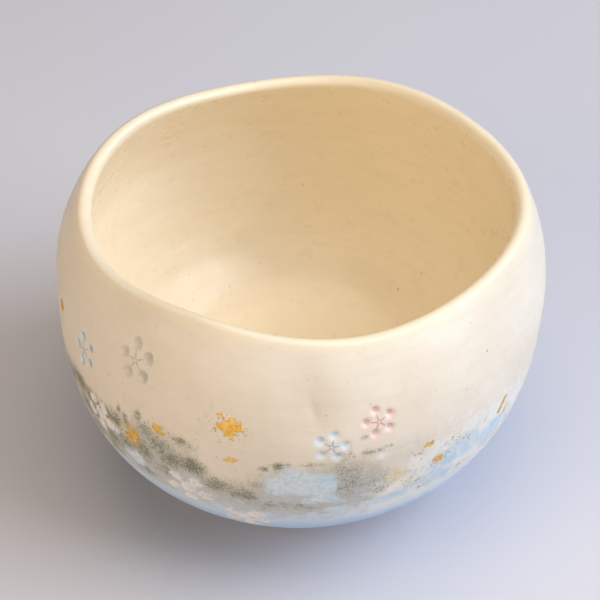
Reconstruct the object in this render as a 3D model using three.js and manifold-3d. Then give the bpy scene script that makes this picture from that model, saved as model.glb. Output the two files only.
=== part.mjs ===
// Hand-formed raku tea bowl, in the layers that a potter gives it: a pinched clay body on a luted foot ring,
// a coat of glaze in two colours, stamped blossoms filled with coloured slip, and torn flakes of gold leaf.
// Millimetres, +Z up. The origin is the middle of the foot's resting face, and -Y is the decorated front.

import * as THREE from "three";
import Module from "manifold-3d";
import { mergeVertices } from "three/addons/utils/BufferGeometryUtils.js";

const wasm = await Module();
wasm.setup();

// Driving dimensions of the finished, glazed bowl
const bowlHeight = 80; // mean height of the lip
const bellyDiameter = 120; // widest part
const bellyHeight = 54; // where the widest part is
const mouthDiameter = 104.4; // over the outside of the lip
const lipThickness = 4.2; // the lip is a full round
const lipLean = 34; // degrees that the wall leans in where it meets the lip
const bellyThickness = 5.6; // wall at the belly
const floorThickness = 7.5; // under the tea pool
const poolDiameter = 34; // shallow hollow in the floor where the last tea gathers
const poolDepth = 1.6;
const footDiameter = 47; // outside of the foot ring at the table
const footFlare = 1.2; // how much wider the ring is where it meets the bowl
const footWidth = 6.5; // width of the ring's resting face
const footHeight = 6.5;
const footBevel = 1.1; // trimmed edges of the ring
const tokinDiameter = 9; // small carved point inside the foot ring
const tokinHeight = 1.5;

// Layers
const glazeThickness = 0.5;
const layerGap = 0.3; // clearance between any two layers
const glazeLine = 3; // bare clay left between the foot ring and the glaze
const hazeReach = 58.5; // length of the blue haze up the wall, from the glaze line
const stampDepth = 1.5; // how deep a stamp goes below the finished surface
const slipThickness = 0.8; // coloured slip left in the stamp
const petalRadius = 1.25;
const petalReach = 3; // from the blossom's middle to a petal's
const rayWidth = 0.6;
const leafThickness = 0.3;

// How finely the round forms are divided
const turns = 44;
const petalSteps = 5;

// The hand's irregularity: each lobe adds depth * cos(count * (angle - peak)), angles in degrees
const lipLobes = [
  { count: 1, depth: 1.8, peak: 45 },
  { count: 2, depth: 1.9, peak: -21 },
  { count: 3, depth: 0.4, peak: -6 },
  { count: 4, depth: 1.3, peak: -4 },
];
const bellyLobes = [
  { count: 2, depth: 2.2, peak: -57 },
  { count: 3, depth: 0.3, peak: 7 },
];
const lipWaves = [
  { count: 1, depth: 2.3, peak: 23 },
  { count: 2, depth: 0.6, peak: 37 },
  { count: 3, depth: 1.6, peak: 21 },
  { count: 4, depth: 1.2, peak: -28 },
];
const thumbDents = [
  { angle: -87, aboveBelly: 12, depth: 0.9, wide: 6, tall: 8 },
  { angle: -150, aboveBelly: 6, depth: 0.6, wide: 14, tall: 9 },
  { angle: 20, aboveBelly: 4, depth: 0.6, wide: 12, tall: 12 },
  { angle: 110, aboveBelly: -4, depth: 0.8, wide: 11, tall: 14 },
];
const formingEase = 4; // the lobes are averaged over this height up and down, so the belly has no crease
const hazeWaves = [
  { count: 2, depth: 0.5, peak: -140 },
  { count: 5, depth: 0.4, peak: -112 },
];

const radians = THREE.MathUtils.degToRad;
const sumOfLobes = (lobes, angle) =>
  lobes.reduce((sum, lobe) => sum + lobe.depth * Math.cos(lobe.count * (angle - radians(lobe.peak))), 0);

// The finished bowl's outline, from the underside beside the foot, up the wall, over the lip and down to
// the axis
const bellyRadius = bellyDiameter / 2;
const lipRadius = lipThickness / 2;
const lipCentre = new THREE.Vector2(mouthDiameter / 2 - lipRadius, bowlHeight - lipRadius);
const footTopRadius = footDiameter / 2 + footFlare;
const floorHeight = footHeight + floorThickness;
const roundness = 0.585; // handle length of a quarter a little fuller than an ellipse

function bowlOutline() {
  const lean = radians(lipLean);
  const innerLean = Math.PI + lean * 0.6;
  const unit = (turn) => new THREE.Vector2(Math.cos(turn), Math.sin(turn));
  const outer = unit(lean).multiplyScalar(lipRadius).add(lipCentre);
  const inner = unit(innerLean).multiplyScalar(lipRadius).add(lipCentre);
  const insideRadius = bellyRadius - bellyThickness;
  const handle = (bowlHeight - bellyHeight) / 3;
  const drop = bellyHeight - footHeight;
  const insideDrop = bellyHeight - floorHeight;
  const poolRadius = poolDiameter / 2;
  const path = new THREE.Path();
  path.moveTo(footTopRadius, footHeight);
  path.bezierCurveTo(
    footTopRadius + (bellyRadius - footTopRadius) * roundness, footHeight,
    bellyRadius, bellyHeight - drop * roundness,
    bellyRadius, bellyHeight,
  );
  path.bezierCurveTo(
    bellyRadius, bellyHeight + handle,
    outer.x + handle * Math.sin(lean), outer.y - handle * Math.cos(lean),
    outer.x, outer.y,
  );
  path.absarc(lipCentre.x, lipCentre.y, lipRadius, lean, innerLean, false);
  path.bezierCurveTo(
    inner.x + handle * Math.sin(lean * 0.6), inner.y - handle * Math.cos(lean * 0.6),
    insideRadius, bellyHeight + handle,
    insideRadius, bellyHeight,
  );
  path.bezierCurveTo(
    insideRadius, bellyHeight - insideDrop * roundness,
    poolRadius + (insideRadius - poolRadius) * roundness, floorHeight + poolDepth,
    poolRadius, floorHeight + poolDepth,
  );
  path.bezierCurveTo(
    poolRadius * 0.7, floorHeight + poolDepth,
    poolRadius * 0.5, floorHeight,
    0, floorHeight,
  );
  return path;
}

const outline = bowlOutline();
const outlineLength = outline.getLength();
const lengths = outline.getCurveLengths();
const lipStart = lengths[1]; // the outline's length where the lip's round begins
const lipEnd = lengths[2];

// How far the lobes push the wall out at a height
function pushed(angle, height) {
  const low = THREE.MathUtils.clamp((height - footHeight) / (bellyHeight - footHeight), 0, 1);
  const high = THREE.MathUtils.clamp((height - bellyHeight) / (bowlHeight - bellyHeight), 0, 1.4);
  return low * (sumOfLobes(bellyLobes, angle) * low * (1 - high) + sumOfLobes(lipLobes, angle) * high);
}

// The hand's forming moves a point of the true round bowl to its place on the real one
function formed(radius, angle, height) {
  const low = THREE.MathUtils.clamp((height - footHeight) / (bellyHeight - footHeight), 0, 1);
  const high = THREE.MathUtils.clamp((height - bellyHeight) / (bowlHeight - bellyHeight), 0, 1.1);
  let push = 0;
  for (let step = -2; step <= 2; step++) {
    push += (pushed(angle, height + (step * formingEase) / 2) * (3 - Math.abs(step))) / 9;
  }
  for (const dent of thumbDents) {
    const turn = Math.atan2(Math.sin(angle - radians(dent.angle)), Math.cos(angle - radians(dent.angle)));
    const across = (turn * bellyRadius) / dent.wide;
    const up = (height - bellyHeight - dent.aboveBelly) / dent.tall;
    push -= low * dent.depth * Math.exp(-across * across - up * up);
  }
  const r = radius * (1 + push / bellyRadius);
  const z = height + sumOfLobes(lipWaves, angle) * high * high;
  return new THREE.Vector3(r * Math.cos(angle), r * Math.sin(angle), z);
}

// A point at a distance along the outline, sunk below the finished surface by a depth
function onOutline(distance, depth) {
  const u = THREE.MathUtils.clamp(distance / outlineLength, 0, 1);
  const point = outline.getPoint(u);
  const slope = outline.getTangent(u);
  return new THREE.Vector2(Math.max(0, point.x - slope.y * depth), point.y + slope.x * depth);
}

function onBowl(angle, distance, depth) {
  const p = onOutline(distance, depth);
  return formed(p.x, angle, p.y);
}

// A spot on the wall is an angle and a distance above the haze's mean edge, so that it moves with the glaze
const wallDistance = (spot) => glazeLine + hazeReach + spot.above;

// A flat outline becomes a plate that follows the bowl, centred on a spot and lying between two depths
function plateOnBowl(shape, spot, topDepth, baseDepth) {
  const geometry = new THREE.ExtrudeGeometry(shape, { depth: baseDepth - topDepth, bevelEnabled: false });
  const middle = wallDistance(spot);
  const reach = onOutline(middle, 0).x;
  const place = geometry.getAttribute("position");
  for (let i = 0; i < place.count; i++) {
    const angle = radians(spot.angle) + place.getX(i) / reach;
    const p = onBowl(angle, middle + place.getY(i), baseDepth - place.getZ(i));
    place.setXYZ(i, p.x, p.y, p.z);
  }
  return geometry;
}

// The layers share rows of points, so that the gaps between them stay even. A row is a function from the
// angle to a distance along the outline. The blue haze ends in a wavy edge, which the rows beside it follow.
const lowerSteps = 7;
const upperSteps = 4;
const lipSteps = 5;
const insideSteps = 8;
const lerp = THREE.MathUtils.lerp;
const hazeEdge = (angle) => glazeLine + hazeReach + sumOfLobes(hazeWaves, angle);
const lowerRow = (i) => (angle) => lerp(glazeLine, hazeEdge(angle), i / lowerSteps);
const upperRow = (i) => (angle) => lerp(hazeEdge(angle) + layerGap, lipStart, i / upperSteps);
const lipRow = (i) => () => lerp(lipStart, lipEnd, i / lipSteps);
const insideRow = (i) => () => lerp(lipEnd, outlineLength, i / insideSteps);
const rowsOf = (row, count) => Array.from({ length: count }, (_, i) => row(i));
const lowerRows = rowsOf(lowerRow, lowerSteps);
const upperRows = [
  ...rowsOf(upperRow, upperSteps),
  ...rowsOf(lipRow, lipSteps),
  ...rowsOf(insideRow, insideSteps),
];

// A solid of revolution through the formed shape. Each row is a function from the angle to a radius and a
// height.
function formedLathe(rows) {
  const geometry = new THREE.LatheGeometry(rows.map((row) => row(0)), turns);
  const place = geometry.getAttribute("position");
  for (let i = 0; i < place.count; i++) {
    const angle = (2 * Math.PI * Math.floor(i / rows.length)) / turns;
    const point = rows[i % rows.length](angle);
    const p = formed(point.x, angle, point.y);
    place.setXYZ(i, p.x, p.y, p.z);
  }
  return geometry;
}

// A closed skin between two depths, through rows of points. It may close over itself on the axis.
function skin(rows, topDepth, baseDepth, closesOnAxis) {
  const vertices = [];
  const indices = [];
  const layer = (depth) => {
    const first = vertices.length / 3;
    for (const row of rows) {
      for (let k = 0; k < turns; k++) {
        const angle = (2 * Math.PI * k) / turns;
        vertices.push(...onBowl(angle, row(angle), depth).toArray());
      }
    }
    if (closesOnAxis) vertices.push(...onBowl(0, outlineLength, depth).toArray());
    return first;
  };
  const top = layer(topDepth);
  const base = layer(baseDepth);
  const last = rows.length - 1;
  const quad = (a, b, c, d) => indices.push(a, b, d, c, d, b);
  for (let k = 0; k < turns; k++) {
    const next = (k + 1) % turns;
    for (let row = 0; row < last; row++) {
      const here = row * turns;
      const above = here + turns;
      quad(top + here + k, top + here + next, top + above + next, top + above + k);
      quad(base + here + k, base + above + k, base + above + next, base + here + next);
    }
    quad(base + k, base + next, top + next, top + k);
    const end = last * turns;
    if (closesOnAxis) {
      const pole = end + turns;
      indices.push(top + end + k, top + end + next, top + pole);
      indices.push(base + end + next, base + end + k, base + pole);
    } else {
      quad(top + end + k, top + end + next, base + end + next, base + end + k);
    }
  }
  const geometry = new THREE.BufferGeometry();
  geometry.setAttribute("position", new THREE.Float32BufferAttribute(vertices, 3));
  geometry.setIndex(indices);
  return geometry;
}

// Solids for joining and cutting
function solid(geometry) {
  const bare = geometry.index ? geometry.toNonIndexed() : geometry.clone();
  bare.deleteAttribute("normal");
  bare.deleteAttribute("uv");
  const merged = mergeVertices(bare, 1e-4);
  return new wasm.Manifold(
    new wasm.Mesh({
      numProp: 3,
      vertProperties: merged.attributes.position.array,
      triVerts: new Uint32Array(merged.index.array),
    }),
  );
}

function fromSolid(body) {
  const mesh = body.getMesh();
  const geometry = new THREE.BufferGeometry();
  geometry.setAttribute("position", new THREE.BufferAttribute(mesh.vertProperties, 3));
  geometry.setIndex(new THREE.BufferAttribute(mesh.triVerts, 1));
  return geometry;
}

// Clay body: the finished outline less the glaze on its glazed part, closed across the underside
function clayBody() {
  const depth = glazeThickness + layerGap;
  const underside = [
    new THREE.Vector2(0, footHeight - tokinHeight),
    new THREE.Vector2(tokinDiameter / 6, footHeight - tokinHeight * 0.75),
    new THREE.Vector2(tokinDiameter / 2, footHeight),
    new THREE.Vector2(footTopRadius, footHeight),
  ];
  const wall = [...lowerRows, ...upperRows].map((row) => (angle) => onOutline(row(angle), depth));
  const middle = new THREE.Vector2(0, onOutline(outlineLength, depth).y);
  return formedLathe([...underside.map((point) => () => point), ...wall, () => middle]);
}

// Foot ring: a coil luted on and trimmed, with bevelled edges
function footRing() {
  const outside = footDiameter / 2;
  const inside = outside - footWidth;
  const top = footHeight - layerGap;
  const profile = [
    new THREE.Vector2(inside, footBevel),
    new THREE.Vector2(inside + footBevel, 0),
    new THREE.Vector2(outside - footBevel, 0),
    new THREE.Vector2(outside, footBevel),
    new THREE.Vector2(footTopRadius - footFlare / 2, top * 0.6),
    new THREE.Vector2(footTopRadius, top),
    new THREE.Vector2(inside - footFlare, top),
    new THREE.Vector2(inside - footFlare / 3, top * 0.6),
  ];
  return formedLathe([...profile, profile[0]].map((point) => () => point));
}

// Glaze: the blue haze covers the wall from the glaze line up to its edge, and the cream covers the rest
const hazeGlaze = () => skin([...lowerRows, hazeEdge], 0, glazeThickness, false);
const creamGlaze = () => skin(upperRows, 0, glazeThickness, true);

// A blossom's outline: five round petals, each joined to the middle by a ray, drawn larger than itself by a
// margin
function blossomShape(flower, margin) {
  const radius = petalRadius * flower.size + margin;
  const reach = petalReach * flower.size;
  const halfRay = (rayWidth / 2) * flower.size + margin;
  const neck = Math.PI - Math.asin(halfRay / radius);
  const notch = halfRay / Math.sin(Math.PI / 5);
  const points = [];
  for (let petal = 0; petal < 5; petal++) {
    const direction = radians(flower.turn + 72 * petal);
    const before = direction - Math.PI / 5;
    points.push(new THREE.Vector2(notch * Math.cos(before), notch * Math.sin(before)));
    for (let step = 0; step <= petalSteps; step++) {
      const around = direction - neck + (2 * neck * step) / petalSteps;
      const x = reach * Math.cos(direction) + radius * Math.cos(around);
      const y = reach * Math.sin(direction) + radius * Math.sin(around);
      points.push(new THREE.Vector2(x, y));
    }
  }
  return new THREE.Shape(points);
}

const blossom = (flower, margin, topDepth, baseDepth) =>
  plateOnBowl(blossomShape(flower, margin), flower, topDepth, baseDepth);

// Where the blossoms are stamped. The size is that of the stamp, as a share of the smallest one.
const blossoms = [
  { name: "blossom_front_pink", slip: "pink_slip", angle: -72, above: 12.5, turn: 103, size: 1 },
  { name: "blossom_front_blue", slip: "blue_slip", angle: -82.5, above: 7.5, turn: 78, size: 1 },
  { name: "blossom_left_grey", slip: "grey_slip", angle: -131.9, above: 16.9, turn: 30, size: 1.4 },
  { name: "blossom_left_blue", slip: "blue_slip", angle: -151.8, above: 6.6, turn: 42, size: 1.2 },
  { name: "blossom_left_white", slip: "white_slip", angle: -142.2, above: -6.7, turn: 60, size: 1.35 },
  { name: "blossom_low_white", slip: "white_slip", angle: -116.6, above: -15.3, turn: 54, size: 1.5 },
  { name: "blossom_low_cream", slip: "white_slip", angle: -102.3, above: -24.6, turn: 59, size: 1.45 },
  { name: "blossom_back_pink", slip: "pink_slip", angle: 78, above: 12, turn: 30, size: 1 },
  { name: "blossom_back_blue", slip: "blue_slip", angle: 90, above: 7.5, turn: 75, size: 1.2 },
  { name: "blossom_back_white", slip: "white_slip", angle: 112, above: -12.5, turn: 15, size: 1.5 },
];

// Gold leaf: each flake is a torn outline lying on the glaze
const flakes = [
  { name: "gold_leaf_front", angle: -105, above: 10.5, size: 6.4, stretch: 0.8, turn: -30 },
  { name: "gold_leaf_front_small", angle: -104.5, above: 1.2, size: 3, stretch: 0.5, turn: 20 },
  { name: "gold_leaf_left_large", angle: -131.5, above: -5, size: 6.4, stretch: 0.8, turn: 100 },
  { name: "gold_leaf_left_small", angle: -123, above: 2.5, size: 3.4, stretch: 0.7, turn: 0 },
  { name: "gold_leaf_far_left", angle: -167, above: 8.5, size: 3.6, stretch: 0.6, turn: 90 },
  { name: "gold_leaf_right_strip", angle: -38, above: -1, size: 6, stretch: 0.18, turn: 70 },
  { name: "gold_leaf_right_large", angle: -57, above: -5.5, size: 3, stretch: 0.9, turn: 45 },
  { name: "gold_leaf_right_small", angle: -60.5, above: 2, size: 2.2, stretch: 0.8, turn: 0 },
  { name: "gold_leaf_back", angle: 60, above: 4.5, size: 5, stretch: 0.8, turn: 35 },
  { name: "gold_leaf_back_small", angle: 125, above: 1.5, size: 3.2, stretch: 0.7, turn: 80 },
  { name: "gold_leaf_back_strip", angle: 104, above: 12.5, size: 5.6, stretch: 0.18, turn: 120 },
];

function goldFlake(flake) {
  const corners = 9;
  const turn = radians(flake.turn);
  const shape = new THREE.Shape();
  for (let k = 0; k < corners; k++) {
    const a = (2 * Math.PI * k) / corners;
    const torn = flake.size * 0.5 * (1 + 0.22 * Math.sin(3 * a + flake.angle) + 0.14 * Math.cos(5 * a));
    const corner = new THREE.Vector2(torn * Math.cos(a), torn * Math.sin(a) * flake.stretch);
    corner.rotateAround(new THREE.Vector2(), turn);
    if (k === 0) shape.moveTo(corner.x, corner.y);
    else shape.lineTo(corner.x, corner.y);
  }
  return plateOnBowl(shape, flake, -layerGap - leafThickness, -layerGap);
}

const finishes = {
  clay: { color: "#d9c4a4", roughness: 0.85 },
  cream_glaze: { color: "#f6e8cc", roughness: 0.35 },
  blue_glaze: { color: "#b4c8d8", roughness: 0.4 },
  pink_slip: { color: "#dc9c9c", roughness: 0.45 },
  blue_slip: { color: "#7f97b8", roughness: 0.45 },
  grey_slip: { color: "#a9b4b8", roughness: 0.45 },
  white_slip: { color: "#ece2da", roughness: 0.45 },
  gold_leaf: { color: "#d79a2b", roughness: 0.4, metalness: 1 },
};

const teaBowl = new THREE.Group();
teaBowl.name = "raku_tea_bowl";

function addPiece(name, finish, geometry) {
  geometry.computeVertexNormals();
  const mesh = new THREE.Mesh(geometry, new THREE.MeshStandardMaterial(finishes[finish]));
  mesh.name = name;
  teaBowl.add(mesh);
}

// Stamps go through the glaze and into the clay, and slip fills the bottom of each
const slipBase = stampDepth - layerGap;
const slipTop = slipBase - slipThickness;
let cream = solid(creamGlaze());
let haze = solid(hazeGlaze());
let clay = solid(clayBody());
for (const flower of blossoms) {
  const stamp = solid(blossom(flower, layerGap, -1, stampDepth));
  cream = cream.subtract(stamp);
  haze = haze.subtract(stamp);
  clay = clay.subtract(stamp);
  addPiece(flower.name, flower.slip, blossom(flower, 0, slipTop, slipBase));
}

addPiece("clay_body", "clay", fromSolid(clay));
addPiece("foot_ring", "clay", footRing());
addPiece("cream_glaze", "cream_glaze", fromSolid(cream));
addPiece("blue_glaze", "blue_glaze", fromSolid(haze));
for (const flake of flakes) addPiece(flake.name, "gold_leaf", goldFlake(flake));

export default teaBowl;
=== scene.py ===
# %% [markdown]
# A hand-formed raku tea bowl, dressed for a studio picture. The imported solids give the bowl's construction
# and its sizes. This script makes the fine surfaces that sit on them: the glaze with its soft haze, the
# blossoms pressed into it, the torn gold leaf, and the bare clay of the foot. We begin by loading the
# solids as a frame.

# %% Load the frame
import math
from collections import namedtuple

import bpy
import numpy as np
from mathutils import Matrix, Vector


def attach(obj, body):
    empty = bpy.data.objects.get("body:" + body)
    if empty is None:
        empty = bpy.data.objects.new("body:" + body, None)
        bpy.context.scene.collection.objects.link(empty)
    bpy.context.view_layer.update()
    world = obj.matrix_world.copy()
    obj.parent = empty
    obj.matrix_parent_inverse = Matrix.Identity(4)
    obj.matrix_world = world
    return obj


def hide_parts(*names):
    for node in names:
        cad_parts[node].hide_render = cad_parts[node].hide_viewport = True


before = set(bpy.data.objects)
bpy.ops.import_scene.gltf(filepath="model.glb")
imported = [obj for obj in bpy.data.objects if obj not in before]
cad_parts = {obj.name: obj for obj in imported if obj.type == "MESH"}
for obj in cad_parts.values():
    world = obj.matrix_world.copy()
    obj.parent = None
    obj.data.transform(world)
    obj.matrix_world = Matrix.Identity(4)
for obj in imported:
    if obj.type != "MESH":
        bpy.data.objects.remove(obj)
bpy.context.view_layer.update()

MM = 0.001

# %% [markdown]
# Blender works in metres, and a potter thinks in millimetres, so every size below is in millimetres and is
# turned to metres only when a mesh is made. These are the bowl's driving sizes, the same as the solids
# have.

# %% Sizes of the bowl
BOWL_HEIGHT = 80.0
BELLY_RADIUS = 60.0
BELLY_HEIGHT = 54.0
MOUTH_RADIUS = 52.2
LIP_RADIUS = 2.1
LIP_LEAN = math.radians(34)
INNER_LEAN = LIP_LEAN * 0.6
BELLY_THICKNESS = 5.6
FLOOR_THICKNESS = 7.5
POOL_RADIUS = 17.0
POOL_DEPTH = 1.6
POOL_HANDLES = (0.7, 0.5)  # of the pool's radius
FOOT_RADIUS = 23.5
FOOT_FLARE = 1.2
FOOT_WIDTH = 6.5
FOOT_HEIGHT = 6.5
FOOT_BEVEL = 1.1
TOKIN_RADIUS = 4.5  # the tokin is the small carved point inside the foot
TOKIN_HEIGHT = 1.5
LAYER_GAP = 0.3
GLAZE_LINE = 3.0
HAZE_REACH = 58.5
ROUNDNESS = 0.585  # a handle's length, as a share of the way to the corner
PETAL_RADIUS = 1.25
PETAL_REACH = 3.0
RAY_WIDTH = 0.6

foot_top_radius = FOOT_RADIUS + FOOT_FLARE
floor_height = FOOT_HEIGHT + FLOOR_THICKNESS
haze_line = GLAZE_LINE + HAZE_REACH

# %% [markdown]
# The bowl's outline runs from the underside beside the foot, up the wall, over the round lip and down the
# inside to the middle of the floor. Bezier curves suit it, because a potter's rib leaves long smooth
# sweeps, and the lip is an arc. Points along it are found by their distance from the foot, as a tape would
# measure it.

# %% The outline
def bezier(start, handle, end_handle, end, steps=300):
    t = np.linspace(0, 1, steps)[:, None]
    a, b, c, d = (np.array(p, float) for p in (start, handle, end_handle, end))
    return (1 - t) ** 3 * a + 3 * (1 - t) ** 2 * t * b + 3 * (1 - t) * t ** 2 * c + t ** 3 * d


def bowl_outline():
    """The curves of the outline, each a run of points (radius, height) in millimetres."""
    lip = np.array([MOUTH_RADIUS - LIP_RADIUS, BOWL_HEIGHT - LIP_RADIUS])
    arc = np.linspace(LIP_LEAN, math.pi + INNER_LEAN, 200)
    rim = lip + LIP_RADIUS * np.stack([np.cos(arc), np.sin(arc)], 1)
    handle = (BOWL_HEIGHT - BELLY_HEIGHT) / 3
    outer_handle = rim[0] + handle * np.array([math.sin(LIP_LEAN), -math.cos(LIP_LEAN)])
    inner_handle = rim[-1] + handle * np.array([math.sin(INNER_LEAN), -math.cos(INNER_LEAN)])
    inside = BELLY_RADIUS - BELLY_THICKNESS
    drop = (BELLY_HEIGHT - FOOT_HEIGHT) * ROUNDNESS
    inside_drop = (BELLY_HEIGHT - floor_height) * ROUNDNESS
    sweep = (BELLY_RADIUS - foot_top_radius) * ROUNDNESS
    pool = floor_height + POOL_DEPTH
    pool_sweep = (inside - POOL_RADIUS) * ROUNDNESS
    foot, foot_handle = (foot_top_radius, FOOT_HEIGHT), (foot_top_radius + sweep, FOOT_HEIGHT)
    belly, inside_belly = (BELLY_RADIUS, BELLY_HEIGHT), (inside, BELLY_HEIGHT)
    pool_edge, pool_handle = (POOL_RADIUS, pool), (POOL_RADIUS + pool_sweep, pool)
    near_edge, near_middle = (POOL_RADIUS * share for share in POOL_HANDLES)
    return [
        bezier(foot, foot_handle, (BELLY_RADIUS, BELLY_HEIGHT - drop), belly),
        bezier(belly, (BELLY_RADIUS, BELLY_HEIGHT + handle), outer_handle, rim[0]),
        rim,
        bezier(rim[-1], inner_handle, (inside, BELLY_HEIGHT + handle), inside_belly),
        bezier(inside_belly, (inside, BELLY_HEIGHT - inside_drop), pool_handle, pool_edge),
        bezier(pool_edge, (near_edge, pool), (near_middle, floor_height), (0, floor_height)),
    ]


curves = bowl_outline()
line = np.concatenate([curves[0]] + [curve[1:] for curve in curves[1:]])
steps_along = np.linalg.norm(np.diff(line, axis=0), axis=1)
along = np.concatenate([[0], np.cumsum(steps_along)])
slope = np.gradient(line, along, axis=0)
slope /= np.linalg.norm(slope, axis=1)[:, None]
marks = np.cumsum([np.linalg.norm(np.diff(curve, axis=0), axis=1).sum() for curve in curves])
BELLY, LIP_START, LIP_END, _, POOL_EDGE, MIDDLE = marks
print("distance along the outline to belly, lip, lip end, inside belly, pool, middle:", marks.round(1))

# %% [markdown]
# A pinched bowl is never truly round. A few slow lobes push the belly and the mouth out of round, waves
# lift and lower the lip, and thumbs leave shallow dents. Every layer of the bowl is moved by this one
# function, so clay, glaze, blossoms and leaf stay together, as they do on the real bowl.

# %% The hand's forming
LIP_LOBES = [(1, 1.8, 45), (2, 1.9, -21), (3, 0.4, -6), (4, 1.3, -4)]
BELLY_LOBES = [(2, 2.2, -57), (3, 0.3, 7)]
LIP_WAVES = [(1, 2.3, 23), (2, 0.6, 37), (3, 1.6, 21), (4, 1.2, -28)]
PUSH_MOST, WAVE_MOST = 1.4, 1.1  # lobes and waves still grow above the lip's mean height, up to these shares
# The hand blurs one form into the next: offsets in height and their shares
BLUR = [(-4, 1 / 9), (-2, 2 / 9), (0, 3 / 9), (2, 2 / 9), (4, 1 / 9)]
# Each dent: angle, height above the belly, depth, and how far it reaches across and up
THUMB_DENTS = [(-87, 12, 0.9, 6, 8), (-150, 6, 0.6, 14, 9), (20, 4, 0.6, 12, 12), (110, -4, 0.8, 11, 14)]


def lobes(rows, angle):
    """The sum of a few waves round the bowl. Each row is a wave's count, depth and peak angle."""
    return sum(depth * np.cos(count * (angle - math.radians(peak))) for count, depth, peak in rows)


def turn_between(angle, place):
    return np.arctan2(np.sin(angle - place), np.cos(angle - place))


def share_of(value, low, high, most=1.0):
    """How far a value is on the way from low to high, as a share that stays between 0 and the most."""
    return np.clip((value - low) / (high - low), 0, most)


def pushed(angle, height):
    """How far the wall is pushed out at a height by the slow lobes, in millimetres."""
    low = share_of(height, FOOT_HEIGHT, BELLY_HEIGHT)
    high = share_of(height, BELLY_HEIGHT, BOWL_HEIGHT, PUSH_MOST)
    return (lobes(BELLY_LOBES, angle) * low * (1 - high) + lobes(LIP_LOBES, angle) * high) * low


def formed(radius, angle, height):
    """The place on the real bowl, as x, y and z in the last axis, of a point of the true round bowl."""
    low = share_of(height, FOOT_HEIGHT, BELLY_HEIGHT)
    high = share_of(height, BELLY_HEIGHT, BOWL_HEIGHT, WAVE_MOST)
    push = sum(share * pushed(angle, height + off) for off, share in BLUR)
    for place, above_belly, depth, wide, tall in THUMB_DENTS:
        across = turn_between(angle, math.radians(place)) * BELLY_RADIUS / wide
        up = (height - BELLY_HEIGHT - above_belly) / tall
        push = push - low * depth * np.exp(-across ** 2 - up ** 2)
    r = radius * (1 + push / BELLY_RADIUS)
    z = height + lobes(LIP_WAVES, angle) * high ** 2
    return np.stack([r * np.cos(angle), r * np.sin(angle), z], -1)


def on_outline(distance, depth):
    x, z = (np.interp(distance, along, line[:, k]) for k in (0, 1))
    tx, tz = (np.interp(distance, along, slope[:, k]) for k in (0, 1))
    return np.maximum(0, x - tz * depth), z + tx * depth


def on_bowl(angle, distance, depth):
    """A spot on the bowl, sunk below the finished surface by a depth, in millimetres."""
    radius, height = on_outline(distance, depth)
    return formed(radius, angle, height)


print("front of the belly:", on_bowl(math.radians(-90), BELLY, 0.0).round(1))

# %% [markdown]
# The decoration is laid out before any mesh is made, because the glaze dips where a stamp was pressed. A
# blossom is five round petals about a middle. Like everything on the wall, it is placed by an angle round
# the bowl and a distance above the haze's mean edge, in millimetres along the wall.

# %% Where the decoration is
Blossom = namedtuple("Blossom", "name slip angle above turn size")
BLOSSOMS = [
    Blossom("blossom_front_pink", "pink", -72, 12.5, 103, 1),
    Blossom("blossom_front_blue", "blue", -82.5, 7.5, 78, 1),
    Blossom("blossom_left_grey", "grey", -131.9, 16.9, 30, 1.4),
    Blossom("blossom_left_blue", "blue", -151.8, 6.6, 42, 1.2),
    Blossom("blossom_left_white", "white", -144, -7, 60, 1.3),
    Blossom("blossom_low_white", "white", -116.6, -15.3, 54, 1.5),
    Blossom("blossom_low_cream", "white", -102.3, -24.6, 59, 1.45),
    Blossom("blossom_back_pink", "pink", 78, 12, 30, 1),
    Blossom("blossom_back_blue", "blue", 90, 7.5, 75, 1.2),
    Blossom("blossom_back_white", "white", 112, -12.5, 15, 1.5),
]
Flake = namedtuple("Flake", "name angle above size stretch turn")
FLAKES = [
    Flake("gold_leaf_front", -105.5, 10.5, 7.4, 0.68, -12),
    Flake("gold_leaf_front_small", -104.5, 1.2, 3, 0.5, 20),
    Flake("gold_leaf_left_large", -131.5, -5, 6.4, 0.8, 100),
    Flake("gold_leaf_left_small", -123, 2.5, 3.4, 0.7, 0),
    Flake("gold_leaf_far_left", -167, 8.5, 3.6, 0.6, 90),
    Flake("gold_leaf_right_strip", -38, -1, 6, 0.25, 62),
    Flake("gold_leaf_right_large", -57, -5.5, 3, 0.9, 45),
    Flake("gold_leaf_right_small", -60.5, 2, 2.2, 0.8, 0),
    Flake("gold_leaf_back", 60, 4.5, 5, 0.8, 35),
    Flake("gold_leaf_back_small", 125, 1.5, 3.2, 0.7, 80),
    Flake("gold_leaf_back_strip", 104, 12.5, 5.6, 0.18, 120),
]


def radius_at(distance):
    return float(on_outline(distance, 0)[0])


PETALS = 5
PETAL_TURN = 360 / PETALS


def petal_spots(flower):
    """The angle and the distance up the wall of each of a blossom's petals."""
    distance = haze_line + flower.above
    reach = PETAL_REACH * flower.size
    directions = np.radians(flower.turn + PETAL_TURN * np.arange(PETALS))
    angles = math.radians(flower.angle) + reach * np.cos(directions) / radius_at(distance)
    return list(zip(angles, distance + reach * np.sin(directions)))


def off_spot(angle, distance, spot_angle, spot_distance):
    """How far a place on the wall is from a spot, in millimetres, across and up."""
    across = turn_between(angle, spot_angle) * radius_at(spot_distance)
    return across, distance - spot_distance


print("blossoms:", len(BLOSSOMS), "flakes of leaf:", len(FLAKES))

# %% [markdown]
# Soft random variation comes up in many places: in the haze's edge, in the torn leaf and in the faint
# ripples of the wall. One function makes it from a lattice of seeded random values, so each run gives the
# same bowl.

# %% Soft random variation
LATTICE = 64


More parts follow.
